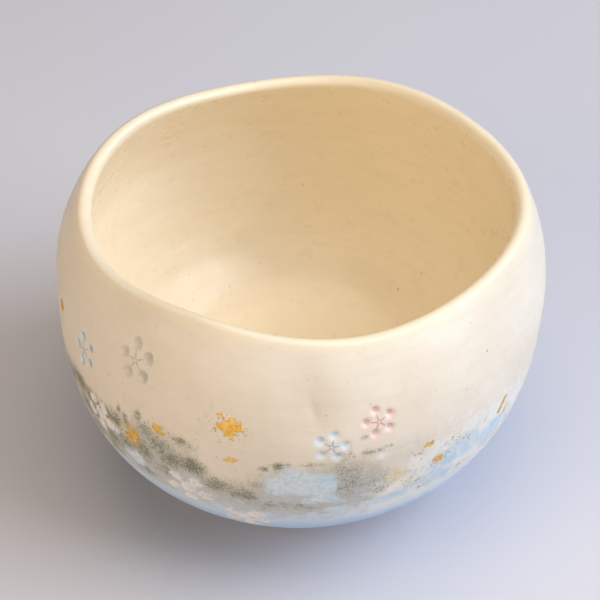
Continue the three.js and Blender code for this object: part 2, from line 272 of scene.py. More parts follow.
def soft_noise(x, y, size, seed):
    """Smooth values from -1 to 1 that change over about one size."""
    table = np.random.default_rng(seed).uniform(-1, 1, (LATTICE, LATTICE))
    u, v = np.asarray(x) / size, np.asarray(y) / size
    i, j = np.floor(u).astype(int), np.floor(v).astype(int)
    fu, fv = u - i, v - j
    fu, fv = fu * fu * (3 - 2 * fu), fv * fv * (3 - 2 * fv)
    row, col = i % LATTICE, j % LATTICE
    row_next, col_next = (i + 1) % LATTICE, (j + 1) % LATTICE
    low = table[row, col] * (1 - fu) + table[row_next, col] * fu
    high = table[row, col_next] * (1 - fu) + table[row_next, col_next] * fu
    return low * (1 - fv) + high * fv


def smooth_step(value, low, high):
    t = share_of(value, low, high)
    return t * t * (3 - 2 * t)


print("noise test:", soft_noise(np.array([1.0, 2.0]), 0.5, 3.0, 1).round(3))

# %% [markdown]
# A stamp leaves a dish for each petal. Its wall is steep enough to hold a crescent of shade on the side
# that faces away from the window. The white blossoms are thick slip with a small dish in each petal. The
# wall also keeps slight ripples from the fingers, and the front has one soft crease where two fingers met.
# All of this is real shape, not only bump, so it catches the light from any side.

# %% Relief of the glaze
DISH_DEPTH = 0.6
DISH_SHARE = {"pink": 1.15, "blue": 1.15, "grey": 1.1, "white": 0.5}  # of the petal's radius
DISH_FLOOR = 0.25  # of the dish's radius; its wall rises outside this
RIPPLE = 0.09
RIPPLE_RING = 24  # the noise is read on a ring of this radius, so it meets itself round the bowl
THROWING = (9.5, 10, 20)  # spacing of the rings inside, and where they fade in and out, past lip and pool
BROAD, FINE, RINGS = 0.7, 0.3, 0.8  # shares of each kind of ripple
SURFACE = 0.22  # the glaze is kept this far inside the solids' box
CREASE = (-86.0, 15.5, 1.6, 3.6, 0.3)  # angle, above the haze's edge, reach across and up, depth
CREASE_LEAN = 0.25  # millimetres across for each millimetre up


def dish_radius(flower):
    return PETAL_RADIUS * flower.size * DISH_SHARE[flower.slip]


def dish(off, radius):
    return DISH_DEPTH * (1 - smooth_step(off / radius, DISH_FLOOR, 1.0))


def stamped_depth(angle, distance):
    depth = np.zeros(np.broadcast(angle, distance).shape)
    for flower in BLOSSOMS:
        for spot_angle, spot_distance in petal_spots(flower):
            across, up = off_spot(angle, distance, spot_angle, spot_distance)
            depth = np.maximum(depth, dish(np.hypot(across, up), dish_radius(flower)))
    return depth


def rippled_depth(angle, distance):
    x, y = RIPPLE_RING * np.cos(angle), RIPPLE_RING * np.sin(angle)
    broad = soft_noise(x + distance * 0.3, y - distance * 0.2, 9, 11)
    fine = soft_noise(x * 1.7 - distance, y * 1.7 + distance * 1.3, 5, 12)
    spacing, fade_in, fade_out = THROWING
    inside = smooth_step(distance, LIP_END, LIP_END + fade_in)
    inside = inside * (1 - smooth_step(distance, POOL_EDGE - fade_out, POOL_EDGE))
    rings = np.sin(distance * 2 * np.pi / spacing + 2 * np.sin(angle)) * inside
    crease_angle, above, wide, tall, deep = CREASE
    across, up = off_spot(angle, distance, math.radians(crease_angle), haze_line + above)
    crease = deep * np.exp(-((across + CREASE_LEAN * up) / wide) ** 2 - (up / tall) ** 2)
    return RIPPLE * (BROAD * broad + FINE * fine + RINGS * rings) + crease


def glaze_depth(angle, distance):
    return SURFACE + RIPPLE + rippled_depth(angle, distance) + stamped_depth(angle, distance)


print("deepest stamp:", float(stamped_depth(np.radians(-72), np.linspace(66, 82, 200)).max()))

# %% [markdown]
# Meshes are made from rings of points. A small helper turns arrays to a Blender mesh with smooth shading,
# and another makes it a piece of the bowl: it rides on the bowl's body and stands for its solid.

# %% Mesh helpers
def make_mesh(name, points, faces, values=None):
    """Points in millimetres. Values are numbers kept at the points, by name, for a material to read."""
    mesh = bpy.data.meshes.new(name)
    mesh.from_pydata((np.asarray(points) * MM).tolist(), [], faces)
    for key, value in (values or {}).items():
        attribute = mesh.attributes.new(key, "FLOAT", "POINT")
        attribute.data.foreach_set("value", np.asarray(value, np.float32).ravel())
    mesh.shade_smooth()
    mesh.update()
    piece = bpy.data.objects.new(name, mesh)
    bpy.context.scene.collection.objects.link(piece)
    return piece


def dress(piece, material, finish, *solids):
    """Makes a mesh a piece of the bowl. The solids are those that it stands for."""
    piece.data.materials.append(material)
    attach(piece, "root")
    if solids:
        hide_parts(*solids)
    print(piece.name, len(piece.data.vertices), "points")
    return piece


def ring_faces(first, second, count):
    """Quads between two rings of the same count, given the index of each ring's first point."""
    k = np.arange(count)
    after = (k + 1) % count
    return np.stack([first + k, first + after, second + after, second + k], 1).tolist()


print("helpers ready")

# %% [markdown]
# Materials come next. Colours are written as sRGB hex values, as a painter would pick them, and one
# function turns them to the linear values that Blender mixes. One small function adds a node: it sets the
# node's own settings and fills its inputs, each with a number, a hex colour, or another node's result.

# %% Material helpers
SETTINGS = {"Mix": {"data_type": "RGBA"}}  # what every node of a kind is set to here


def colour(hex_value):
    parts = [int(hex_value[k:k + 2], 16) / 255 for k in (1, 3, 5)]
    linear = [p / 12.92 if p <= 0.04045 else ((p + 0.055) / 1.055) ** 2.4 for p in parts]
    return (*linear, 1.0)


def add(tree, kind, inputs=None, stops=None, **settings):
    """Stops are the (place, hex colour) pairs of a colour ramp."""
    node = tree.nodes.new("ShaderNode" + kind)
    for key, value in {**SETTINGS.get(kind, {}), **settings}.items():
        setattr(node, key, value)
    for key, value in (inputs or {}).items():
        named = [socket for socket in node.inputs if socket.enabled and socket.name == key]
        socket = node.inputs[key] if isinstance(key, int) else named[0]
        if isinstance(value, bpy.types.Node):
            value = next(output for output in value.outputs if output.enabled)
        if isinstance(value, bpy.types.NodeSocket):
            tree.links.new(value, socket)
        else:
            socket.default_value = colour(value) if isinstance(value, str) else value
    for index, (place, hex_value) in enumerate(stops or []):
        elements = node.color_ramp.elements
        element = elements[index] if index < len(elements) else elements.new(place)
        element.position = place
        element.color = colour(hex_value)
    return node


def per_mm(size):
    """The scale of a pattern whose blotches are about one size across, in millimetres."""
    return 1 / (size * MM)


def new_material(name):
    """A material, its nodes, and the place on the piece that its patterns start from."""
    material = bpy.data.materials.new(name)
    material.use_nodes = True
    tree = material.node_tree
    tree.nodes.clear()
    return material, tree, add(tree, "TexCoord").outputs["Object"]


print("material helpers ready")

# %% [markdown]
# A few patterns come up on everything that is made by hand and fired: a value or a colour that drifts,
# blotches of another colour, and an uneven skin. Each is noise of a size that is given in millimetres.

# %% Drifts, blotches and uneven skin
def drifting(tree, place, size, detail, least, most, roughness=0.5):
    """A value that drifts between two limits."""
    noise = {"Vector": place, "Scale": per_mm(size), "Detail": detail, "Roughness": roughness}
    drift = {"Value": add(tree, "TexNoise", noise), "From Min": 0.3, "From Max": 0.7}
    return add(tree, "MapRange", {**drift, "To Min": least, "To Max": most})


def clouded(tree, place, size, detail, stops, roughness=0.5):
    """A colour that drifts through the stops."""
    noise = {"Vector": place, "Scale": per_mm(size), "Detail": detail, "Roughness": roughness}
    return add(tree, "ValToRGB", {"Fac": add(tree, "TexNoise", noise)}, stops=stops)


def blotched(tree, place, base, tint, size, low, high, most=1.0, detail=4.0, edge="LINEAR"):
    """The base colour with blotches of a tint, which begin where the noise is low and are full at high."""
    noise = add(tree, "TexNoise", {"Vector": place, "Scale": per_mm(size), "Detail": detail})
    cover = {"Value": noise, "From Min": low, "From Max": high, "To Max": most}
    cover = add(tree, "MapRange", cover, interpolation_type=edge)
    return add(tree, "Mix", {"Factor": cover, "A": base, "B": tint})


def uneven(tree, place, size, detail, strength, height, below=None):
    """Bumps of a size and a height in millimetres, over the skin below where one is given."""
    noise = add(tree, "TexNoise", {"Vector": place, "Scale": per_mm(size), "Detail": detail})
    bumps = {"Height": noise, "Strength": strength, "Distance": height * MM}
    return add(tree, "Bump", {**bumps, "Normal": below} if below else bumps)


print("patterns ready")

# %% [markdown]
# The glaze is a lead-free raku glaze: milky cream, satin after a low firing, over warm clay. It pools and
# thins, so the cream drifts slowly between two tones, and inside the bowl, where it is thicker, it is
# warmer. That warmer, brighter inside tone is also painted light: it stands in for the glow of light that
# bounces between the inner walls. Iron in the clay bleeds through as a few fine brown specks, and small
# bubbles leave pinholes about 0.4 mm wide. The kiln's smoke and the brush leave faint darker traces.

# %% Cream glaze colour
def cream_colour(tree, place):
    """Drift, warmth inside that partly paints light, smoke, the brush's traces and specks, one over the
    other.
    """
    cream = clouded(tree, place, 18, 3.0, [(0.35, "#ecdfcb"), (0.65, "#f3e8d7")])
    inside = add(tree, "Attribute", attribute_name="inside").outputs["Fac"]
    # Painted light: this warmer, brighter inside tone also stands in for the glow of light bouncing inside
    # the bowl.
    cream = add(tree, "Mix", {"Factor": inside, "A": cream, "B": "#f8e9cc"})
    cream = blotched(tree, place, cream, "#e0d4c0", 26, 0.55, 0.8, most=0.3)
    wiped = add(tree, "Mapping", {"Vector": place, "Scale": (0.08, 0.08, 1.0)})
    cream = blotched(tree, wiped, cream, "#dccfb6", 1.4, 0.45, 0.7, most=0.16)
    specks = {"most": 0.6, "detail": 1.0, "edge": "SMOOTHSTEP"}
    return blotched(tree, place, cream, "#b7864f", 1.0, 0.77, 0.83, **specks)


def pinholes(tree, place):
    """1 in a pinhole and 0 elsewhere. Cells are 9 mm apart, and only some of them hold a pinhole."""
    cells = add(tree, "TexVoronoi", {"Vector": place, "Scale": per_mm(9)})
    near = {"Value": cells.outputs["Distance"], "From Min": 0.035, "From Max": 0.02}
    near = add(tree, "MapRange", near, interpolation_type="SMOOTHSTEP")
    chosen = add(tree, "SeparateColor", {"Color": cells.outputs["Color"]})
    chosen = add(tree, "Math", {0: chosen.outputs["Red"], 1: 0.55}, operation="GREATER_THAN")
    return add(tree, "Math", {0: near, 1: chosen}, operation="MULTIPLY")


print("cream glaze ready")

# %% [markdown]
# On the lower wall the potter sponged a grey slip upwards, sprayed milky blue over it and wiped the foot
# with lavender before glazing. The grey dries as a thin wash with dark and pale grains in it, drawn out in
# short strokes. Numbers kept at the glaze's points say where each colour lies, and noise makes the edges
# ragged.

# %% Haze colours
def grey_slip(tree, place, strokes, base):
    """The sponged grey over the base colour: its wash, its strokes, and its dark and pale grains."""
    clump = drifting(tree, strokes, 2.4, 6.0, -0.4, 0.4, roughness=0.7)
    sponged = add(tree, "Attribute", attribute_name="grain").outputs["Fac"]
    density = add(tree, "Math", {0: sponged, 1: clump}, operation="ADD")
    near = add(tree, "MapRange", {"Value": sponged, "From Min": 0.03, "From Max": 0.35})
    wash = {"Value": density, "From Min": 0.1, "From Max": 0.9, "To Max": 0.8}
    wash = add(tree, "MapRange", wash, interpolation_type="SMOOTHSTEP")
    base = add(tree, "Mix", {"Factor": wash, "A": base, "B": "#c1beae"})
    drag = add(tree, "Mapping", {"Vector": place, "Scale": (0.3, 0.3, 1.0)})
    drag = add(tree, "TexNoise", {"Vector": drag, "Scale": per_mm(1.1), "Detail": 5.0, "Roughness": 0.65})
    fine = add(tree, "TexNoise", {"Vector": place, "Scale": per_mm(0.5), "Detail": 3.0, "Roughness": 0.7})
    # Strokes dragged round the bowl, then dark grains. For each: the noise, how much the density adds to it,
    # where they begin and are full, how much they cover, and their colour.
    marks = [(drag, 0.2, 0.62, 0.86, 0.8, "#77735f"), (fine, 0.24, 0.58, 0.84, 0.85, "#807c69")]
    for noise, share, low, high, most, tint in marks:
        mark = add(tree, "Math", {0: density, 1: share, 2: noise}, operation="MULTIPLY_ADD")
        mark = {"Value": mark, "From Min": low, "From Max": high, "To Max": most}
        mark = add(tree, "MapRange", mark, interpolation_type="SMOOTHSTEP")
        mark = add(tree, "Math", {0: mark, 1: near}, operation="MULTIPLY")
        base = add(tree, "Mix", {"Factor": mark, "A": base, "B": tint})
    pale = add(tree, "MapRange", {"Value": fine, "From Min": 0.47, "From Max": 0.34, "To Max": 0.75})
    pale = add(tree, "Math", {0: pale, 1: wash}, operation="MULTIPLY")
    return add(tree, "Mix", {"Factor": pale, "A": base, "B": "#ddd6c0"})


def cloud_cover(tree, place, name, low, high):
    """How far one of the clouds covers. Its edge wanders by about half a cloud and is finely grained."""
    ragged = drifting(tree, place, 3.2, 8.0, -0.35, 0.35, roughness=0.75)
    value = add(tree, "Attribute", attribute_name=name).outputs["Fac"]
    value = add(tree, "Math", {0: value, 1: ragged}, operation="ADD")
    value = {"Value": value, "From Min": low, "From Max": high}
    return add(tree, "MapRange", value, interpolation_type="SMOOTHSTEP")


def haze_colour(tree, place, cream):
    """The haze over the cream: ground, pale places that partly paint light, stains, grey slip, last the
    blues.
    """
    strokes = add(tree, "Mapping", {"Vector": place, "Scale": (1.0, 1.0, 0.4)})
    edge_noise = {"Vector": strokes, "Scale": per_mm(2.2), "Detail": 7.0, "Roughness": 0.7}
    edge_noise = add(tree, "TexNoise", edge_noise)
    wander = {"Value": edge_noise, "From Min": 0.25, "From Max": 0.75, "To Min": -3.0, "To Max": 3.0}
    wander = add(tree, "MapRange", wander)
    haze = add(tree, "Attribute", attribute_name="haze").outputs["Fac"]
    edge = add(tree, "Math", {0: haze, 1: wander}, operation="ADD")
    deep = add(tree, "MapRange", {"Value": edge, "From Min": 0.0, "From Max": 12.0})
    ground = [(0.1, "#dad0bc"), (0.5, "#c7c3b4"), (0.85, "#bdc3c5")]
    ground = add(tree, "ValToRGB", {"Fac": deep}, stops=ground)
    veil = {"Value": edge, "From Min": -1.5, "From Max": 4.5, "To Max": 0.85}
    veil = add(tree, "MapRange", veil, interpolation_type="SMOOTHSTEP")
    base = add(tree, "Mix", {"Factor": veil, "A": cream, "B": ground})
    # Pale ground. On the right front this cover also paints the window's strong light on the lower wall, and
    # pales the blue bands below.
    bare_and_lit = cloud_cover(tree, place, "pale", 0.1, 0.6)
    base = add(tree, "Mix", {"Factor": bare_and_lit, "A": base, "B": "#f8f5ec"})
    stain = cloud_cover(tree, place, "tan", 0.3, 0.9)
    base = add(tree, "Mix", {"Factor": stain, "A": base, "B": "#efdfbb"})
    base = grey_slip(tree, place, strokes, base)
    milk = clouded(tree, place, 1.2, 6.0, [(0.35, "#c6d9e4"), (0.65, "#e8f1f4")], roughness=0.7)
    milk = blotched(tree, place, milk, "#b4daf0", 9, 0.5, 0.4, most=0.45, detail=3.0)
    band = add(tree, "Mix", {"Factor": bare_and_lit, "A": "#cfe0ec", "B": "#dfedf8"})
    foot_band = add(tree, "ValToRGB", {"Fac": edge_noise}, stops=[(0.35, "#aecaea"), (0.65, "#c6d9ec")])
    foot_band = add(tree, "Mix", {"Factor": bare_and_lit, "A": foot_band, "B": "#bcd8f4"})
    # The blues in the order of spraying: where each lies, where it begins and is full, and its colour
    blues = [("blue", 0.35, 0.75, milk), ("low", 0.1, 0.7, band), ("low", 0.62, 1.15, foot_band)]
    for name, low, high, tint in blues:
        cover = cloud_cover(tree, place, name, low, high)
        base = add(tree, "Mix", {"Factor": cover, "A": base, "B": tint})
    return base


print("haze ready")

# %% [markdown]
# The washes are thin slip that ran over the rims of the stamps, and they lie over haze and cream alike.
# The glaze has the IOR of a silica glass, about 1.5, and its roughness drifts a little, as a low-fired
# satin glaze does.

# %% Glaze surface
WASHES = {"pink_wash": "#f3d6c9", "blue_wash": "#e9eff2", "grey_wash": "#cfd0c8", "white_wash": "#efe6df"}


def glaze_material():
    material, tree, place = new_material("raku_glaze")
    base = haze_colour(tree, place, cream_colour(tree, place))
    for name, tint in WASHES.items():
        wash = add(tree, "Attribute", attribute_name=name).outputs["Fac"]
        base = add(tree, "Mix", {"Factor": wash, "A": base, "B": tint})
    pits = pinholes(tree, place)
    shaded = add(tree, "Math", {0: pits, 1: 0.6}, operation="MULTIPLY")
    base = add(tree, "Mix", {"Factor": shaded, "A": base, "B": "#8f7555"})
    satin = drifting(tree, place, 6, 3.0, 0.38, 0.5)
    pooled = add(tree, "Attribute", attribute_name="inside").outputs["Fac"]
    # The glaze is glossier inside, where it pooled
    satin = add(tree, "Math", {0: pooled, 1: -0.13, 2: satin}, operation="MULTIPLY_ADD")
    skin = uneven(tree, place, 1.6, 3.0, 0.25, 0.1)
    skin = uneven(tree, place, 6, 2.0, 0.35, 0.3, skin)
    pitted = {"Height": pits, "Normal": skin, "Strength": 0.6, "Distance": 0.2 * MM}
    pitted = add(tree, "Bump", pitted, invert=True)
    glass = {"Base Color": base, "Roughness": satin, "Normal": pitted, "IOR": 1.5}
    surface = add(tree, "BsdfPrincipled", glass)
    add(tree, "OutputMaterial", {"Surface": surface})
    return material


glaze = glaze_material()
print(glaze.name, len(glaze.node_tree.nodes), "nodes")

# %% [markdown]
# The foot is bare raku clay: earthenware opened with sand, fired low, so it is buff, dry and toothy. Its
# grit is about 0.7 mm, and nothing on it shines, so its roughness is high.

# %% Bare clay
def clay_material():
    material, tree, place = new_material("raku_clay")
    tones = [(0.3, "#c9ad88"), (0.55, "#d9c2a0"), (0.75, "#e4d2b4")]
    base = clouded(tree, place, 5, 5.0, tones, roughness=0.6)
    base = blotched(tree, place, base, "#8d7458", 0.7, 0.66, 0.72, most=0.5, detail=2.0)
    tooth = uneven(tree, place, 0.6, 4.0, 0.6, 0.15)
    earth = {"Base Color": base, "Normal": tooth, "Roughness": 0.85, "IOR": 1.5}
    surface = add(tree, "BsdfPrincipled", earth)
    add(tree, "OutputMaterial", {"Surface": surface})
    return material


clay = clay_material()
print(clay.name)

# %% [markdown]
# Coloured slip is clay thinned with water and a stain, brushed into the stamp and wiped off round it. In a
# petal it stays darkest where it pooled, so its colour runs from the pool to the far rim. The pool's spot is
# set up and to the right in each petal, as seen from outside. Its dark colour there also paints the shade
# under the dish's upper right wall, which faces away from the window, and the pale far rim at the lower
# left paints the dish's lit side. The rim value is 0 in the pool, 1 at the far rim, and below 0 on the fine
# rays, which have a tone of their own.

# %% Coloured slip
# The colours of the rays, of the pool and its painted shade, between pool and rim, and of the rim
SLIP_COLOURS = {
    "pink": ["#dba9a5", "#c4686f", "#e8b3ad", "#f3dcd2"],
    "blue": ["#b4c3d0", "#5f7ba3", "#b0c6da", "#e6edf1"],
    "grey": ["#cdccc2", "#aab2b0", "#c6c7bf", "#e0d6c4"],
    "white": ["#a9a29d", "#b3aca6", "#e6dfdb", "#f2edea"],
}
SLIP_STOPS = (0.05, 0.24, 0.5, 0.8)


def slip_material(name):
    material, tree, place = new_material(name + "_slip")
    brushed = drifting(tree, place, 2.4, 4.0, -0.15, 0.35, roughness=0.6)
    rim = add(tree, "Attribute", attribute_name="rim").outputs["Fac"]
    rim = add(tree, "Math", {0: rim, 1: brushed}, operation="ADD")
    shifted = add(tree, "MapRange", {"Value": rim, "From Min": -0.5, "From Max": 1.0})
    base = add(tree, "ValToRGB", {"Fac": shifted}, stops=zip(SLIP_STOPS, SLIP_COLOURS[name]))
    surface = add(tree, "BsdfPrincipled", {"Base Color": base, "Roughness": 0.4, "IOR": 1.5})
    add(tree, "OutputMaterial", {"Surface": surface})
    return material


slips = {name: slip_material(name) for name in SLIP_COLOURS}
print("slips:", sorted(slips))

# %% [markdown]
# Gold leaf is a real metal beaten thin, so its colour is that of its reflections. It was laid on a
# crackled ground and lies crumpled, so it is matt and its tone changes from spot to spot. Its crumbs are
# half covered by the glaze, so they are duller.

# %% Gold leaf finish
def leaf_material(name, tones):
    material, tree, place = new_material(name)
    base = clouded(tree, place, 1.1, 4.0, zip((0.3, 0.5, 0.7), tones), roughness=0.6)
    crumple = uneven(tree, place, 0.6, 3.0, 0.5, 0.1)
    metal = {"Base Color": base, "Normal": crumple, "Metallic": 1.0, "Roughness": 0.5}
    surface = add(tree, "BsdfPrincipled", metal)
    add(tree, "OutputMaterial", {"Surface": surface})
    return material


leaf = leaf_material("gold_leaf", ["#eea840", "#fbca62", "#ffe39a"])
rubbed_leaf = leaf_material("rubbed_gold_leaf", ["#d8b47c", "#e6c894", "#f0dcb4"])
print(leaf.name, rubbed_leaf.name)

# %% [markdown]
# The glaze coat is one skin, from the bare line beside the foot up over the lip and down to the middle of
# the floor. On the solids the haze and the cream are two coats. On the real bowl they melt together, so
# here one fine skin stands for both. Rings are close where the stamps are, and closest over the lip. The
# last ring leaves a small gap, which one point in the middle closes.

# %% Rings of the glaze coat
COLUMNS = 900
STAMPS_START, STAMPS_END = 32, 84  # the stamps lie between these distances up the wall
last_ring = MIDDLE - 0.6
wall_rings = np.concatenate([
    np.linspace(GLAZE_LINE, STAMPS_START, 22, endpoint=False),
    np.linspace(STAMPS_START, STAMPS_END, 132, endpoint=False),
    np.linspace(STAMPS_END, LIP_START, 12, endpoint=False),
    np.linspace(LIP_START, LIP_END, 22, endpoint=False),
    np.linspace(LIP_END, last_ring, 80),
])
under_rings = np.concatenate([
    np.linspace(GLAZE_LINE, LIP_START, 20),
    np.linspace(LIP_START, LIP_END, 10)[1:],
    np.linspace(LIP_END, last_ring, 20)[1:],
])
print("rings:", len(wall_rings), "over and", len(under_rings), "under")

# %% [markdown]
# The haze is laid out as a painter would: a ragged top edge, dark clumps of grey, clouds of milky blue,
# pale places and a few warm stains. Each is an angle, a distance above the haze's mean edge, a reach
# across and up in millimetres, and a strength, all read one by one. The hidden side has a layout of its own.

# %% Layout of the haze
# Top edge: angle in degrees and distance above the mean edge
HAZE_EDGE = [
    (-180, -4), (-165, -3.5), (-155, -2), (-149, -2.3), (-143.5, -2.5), (-139, -2.3), (-135.8, 1.2),
    (-134, 0), (-129.2, 4.2), (-125.7, 3.8), (-121.8, 3.8), (-119, 2), (-116.2, 2), (-112.5, 0),
    (-110.8, -2.8), (-108.5, -4.8), (-105.5, -5.5), (-102, -3.5), (-97.3, 0.5), (-93, 1.5), (-89, 2.8),
    (-84, 3.5), (-80, 5.5), (-77.5, 5), (-75, 3.5), (-73, 3), (-71, 0.5), (-68.5, -3), (-65, -5),
    (-61, -4.5), (-57, -3), (-52, -1.5), (-47, -1), (-42, -2), (-36, -4), (-25, -4.5), (0, -6), (30, -3.5),
    (60, 0.5), (80, 5), (92, 2), (108, -2), (122, 0.5), (145, 2), (165, -2.5), (180, -4),
]
# Grey clumps: angle, above, reach across, reach up, strength
GREY = [
    (-154, -4.5, 4, 2.4, 1.7), (-147, -4.6, 4, 2.2, 1.8), (-141.5, -4.6, 3.5, 2.2, 1.6),
    (-137, -3.5, 2.5, 2.5, 1.3), (-133.6, -1.5, 1.2, 2.2, 1.1), (-135.8, 0.5, 0.8, 1.6, 0.9),
    (-129.3, 2.8, 1.6, 1.8, 0.9), (-151, -10.5, 4, 3, 1.3), (-148, -15, 4, 3, 1.1),
    (-140.5, -17, 4, 3.5, 0.8), (-160, -7, 4, 4, 1.3), (-126.5, -1, 3, 3.5, 0.9), (-123, -3.5, 4, 4, 1.15),
    (-119.5, -6, 5, 3.5, 1.25), (-114.5, -5.5, 4, 3, 1.45), (-116.5, 2, 4, 2, 0.75),
    (-146, -8.5, 2.5, 3, 1.3), (-139.8, -12.5, 3.5, 3, 1.3), (-134, -10, 3.5, 2.6, 1.2),
    (-129, -17.5, 4, 2, 0.9), (-128, -8.5, 4, 4, 1.05), (-122, -11, 5, 3.5, 0.8), (-36, -13, 3, 5, 0.4),
    (-31, -17, 3, 4, 0.5), (-42, -23, 6, 2, 0.35), (-108, -9.5, 4, 3.2, 1.1), (-103, -11.5, 5, 3.4, 0.95),
    (-99.5, -6, 4, 1.5, 0.55), (-94.5, -14.6, 13, 2.6, 0.6), (-97.2, 0, 1.3, 1.1, 1.2),
    (-94.2, 1.2, 1.5, 1.5, 1.3), (-92, 2.2, 1, 1, 0.8), (-86, 2.5, 3, 0.8, 0.7), (-79, -4.5, 5, 8, 0.65),
    (-72.5, -8.5, 5, 6, 0.5), (-79.5, 4.5, 3, 2.2, 0.45), (-73.5, 5, 2.8, 1.1, 0.75),
    (-70.5, 5.6, 1.6, 0.7, 0.7), (-75.1, 9.3, 0.9, 0.8, 0.7), (-86, -3, 2.5, 3, 0.35),
    (-63.5, -8, 4.5, 3, 0.3), (-46, -0.5, 6, 1.2, 0.25), (-36, -5, 2.5, 3.5, 0.5), (-33, -10, 2.5, 4, 0.45),
    (-62, -12.5, 6, 3, 0.5), (-56, -15.5, 6, 2.5, 0.42), (-48, -15, 6, 2.2, 0.42), (-40, -13, 5, 2.5, 0.42),
    (-53, -1.5, 6, 1.5, 0.3), (-172, -9, 6, 5, 0.8), (170, -3.5, 7, 5, 0.9), (150, -1.5, 6, 4, 0.8),
    (128, -5.5, 8, 5, 0.9), (105, -4.5, 6, 6, 0.8), (83, 1.5, 5, 6, 1.0), (70, -5.5, 6, 5, 0.7),
    (45, -7.5, 7, 5, 0.6), (20, -9.5, 7, 4, 0.4), (-10, -9.5, 8, 4, 0.4),
]
# Milky blue clouds
BLUE = [
    (-90, -4.5, 9, 6, 1.1), (-84.5, -5, 4, 5, 1.3), (-96, -8, 5, 4, 0.6), (-84, -11.5, 7, 3, 0.8),
    (-132, -14, 4.5, 3.5, 0.9), (-137.5, -8, 2.5, 3.5, 0.6), (-51, -6.5, 9, 5, 1.3), (-40, -8.5, 6, 5, 1.1),
    (-57, -13, 9, 4, 0.8), (-50, -17.5, 14, 2.5, 0.65), (-37, -16.5, 8, 2.5, 0.65), (-68, -16, 9, 3, 0.9),
    (-80, -17.5, 6, 2.5, 0.8), (-104, -14.5, 5, 2.5, 0.5), (-165, -11.5, 6, 4, 0.9), (160, -9.5, 8, 6, 1.0),
    (118, -9.5, 9, 6, 1.0), (92, -6.5, 8, 6, 0.9), (55, -8.5, 9, 6, 1.0), (15, -11.5, 12, 5, 0.9),
    (-15, -11.5, 10, 5, 1.0),
]
# Places where the ground was left nearly white; on the right front they also paint the window's strong light
# on the lower wall
PALE_AND_LIT = [
    (-47, -8.5, 18, 9, 1.7), (-62, -12, 10, 8, 1.1), (-46, -23, 26, 9, 1.4), (-72, 2.6, 1.3, 1.2, 0.8),
    (50, -8.5, 15, 7, 0.7), (150, -9, 9, 5, 0.5),
]
# Warm stains where the ground shows
TAN = [
    (-68, -5.5, 4, 4.5, 0.85), (-84.5, 3, 3, 1.5, 0.5), (-98, 0, 3, 1, 0.3), (-111, 0, 7, 3, 0.3),
    (110, 0, 6, 2, 0.4),
]


def spread_of(patches, angle, distance):
    """The strongest patch at each place, fading with distance from its middle."""
    value = np.zeros(angle.shape)
    for place, above, wide, tall, strength in patches:
        across, up = off_spot(angle, distance, math.radians(place), haze_line + above)
        value = np.maximum(value, strength * np.exp(-(across / wide) ** 2 - (up / tall) ** 2))
    return value


PATCHES = {"grain": GREY, "blue": BLUE, "pale": PALE_AND_LIT, "tan": TAN}
print("patches:", {name: len(patches) for name, patches in PATCHES.items()})

# %% [markdown]
# Each point of the glaze keeps a few numbers for its material: how far it is inside the haze, how strong
# the grey, the blue, the pale ground and the stain are there, how near the foot it is, whether it is
# inside the bowl, and how much slip ran over it. On the right front the pale ground also paints the
# window's strong light on the lower wall. A slip's wash fades steeply at its reach, and lies a little to
# the lower left of its petal, on the side of the dish that faces the window. This offset paints the dish's
# lit side.

# %% Numbers kept at the glaze's points
FOOT_BAND, FOOT_BAND_BLUR = 46.0, 12  # distance up the wall where the blue near the foot begins, and its edge
POOLED = (LIP_START - 4, LIP_START + 3)  # from here to there the glaze turns to that of the inside
NO_HAZE = -30.0  # inside the bowl, so far from the haze that none shows
# Painted light: the wash is moved towards the lower left, the lit side of the dish.
WASH_LIT_SIDE_SHIFT = 0.3  # millimetres down and to the left
# Strength of each wash, and its reach as a share of the petal's radius
WASH_SPREAD = {"pink": (0.5, 1.5), "blue": (0.7, 1.3), "grey": (0.3, 1.3), "white": (0.3, 1.2)}
WIPED_CLEAN = ("blossom_left_blue", "blossom_left_grey")
WIPED = 0.2  # the share of the wash that the cloth left on these


def glaze_values(angle, distance):
    degrees = np.degrees(turn_between(angle, 0.0))
    outside = distance < LIP_START
    edge = haze_line + np.interp(degrees, *zip(*HAZE_EDGE))
    values = {"haze": np.where(outside, edge - distance, NO_HAZE)}
    for name, patches in PATCHES.items():
        values[name] = np.where(outside, spread_of(patches, angle, distance), -1.0)
    values["low"] = np.where(outside, (FOOT_BAND - distance) / FOOT_BAND_BLUR, -1.0)
    values["inside"] = smooth_step(distance, *POOLED)
    for slip, (strength, share) in WASH_SPREAD.items():
        wash = np.zeros(angle.shape)
        for flower in BLOSSOMS:
            if flower.slip == slip:
                reach = share * PETAL_RADIUS * flower.size
                for spot_angle, spot_distance in petal_spots(flower):
                    across, up = off_spot(angle, distance, spot_angle, spot_distance)
                    here = np.exp(-(np.hypot(across + WASH_LIT_SIDE_SHIFT, up + WASH_LIT_SIDE_SHIFT) / reach) ** 4)
                    wash = np.maximum(wash, here * (WIPED if flower.name in WIPED_CLEAN else 1))
        values[slip + "_wash"] = strength * wash * outside
    return values


print("numbers per point:", 3 + len(PATCHES) + len(WASH_SPREAD))

# %% [markdown]
# The coat is closed: its outer face, its under face against the clay, and the thin edge beside the foot.
# Both faces end in one point in the middle of the bowl's floor.

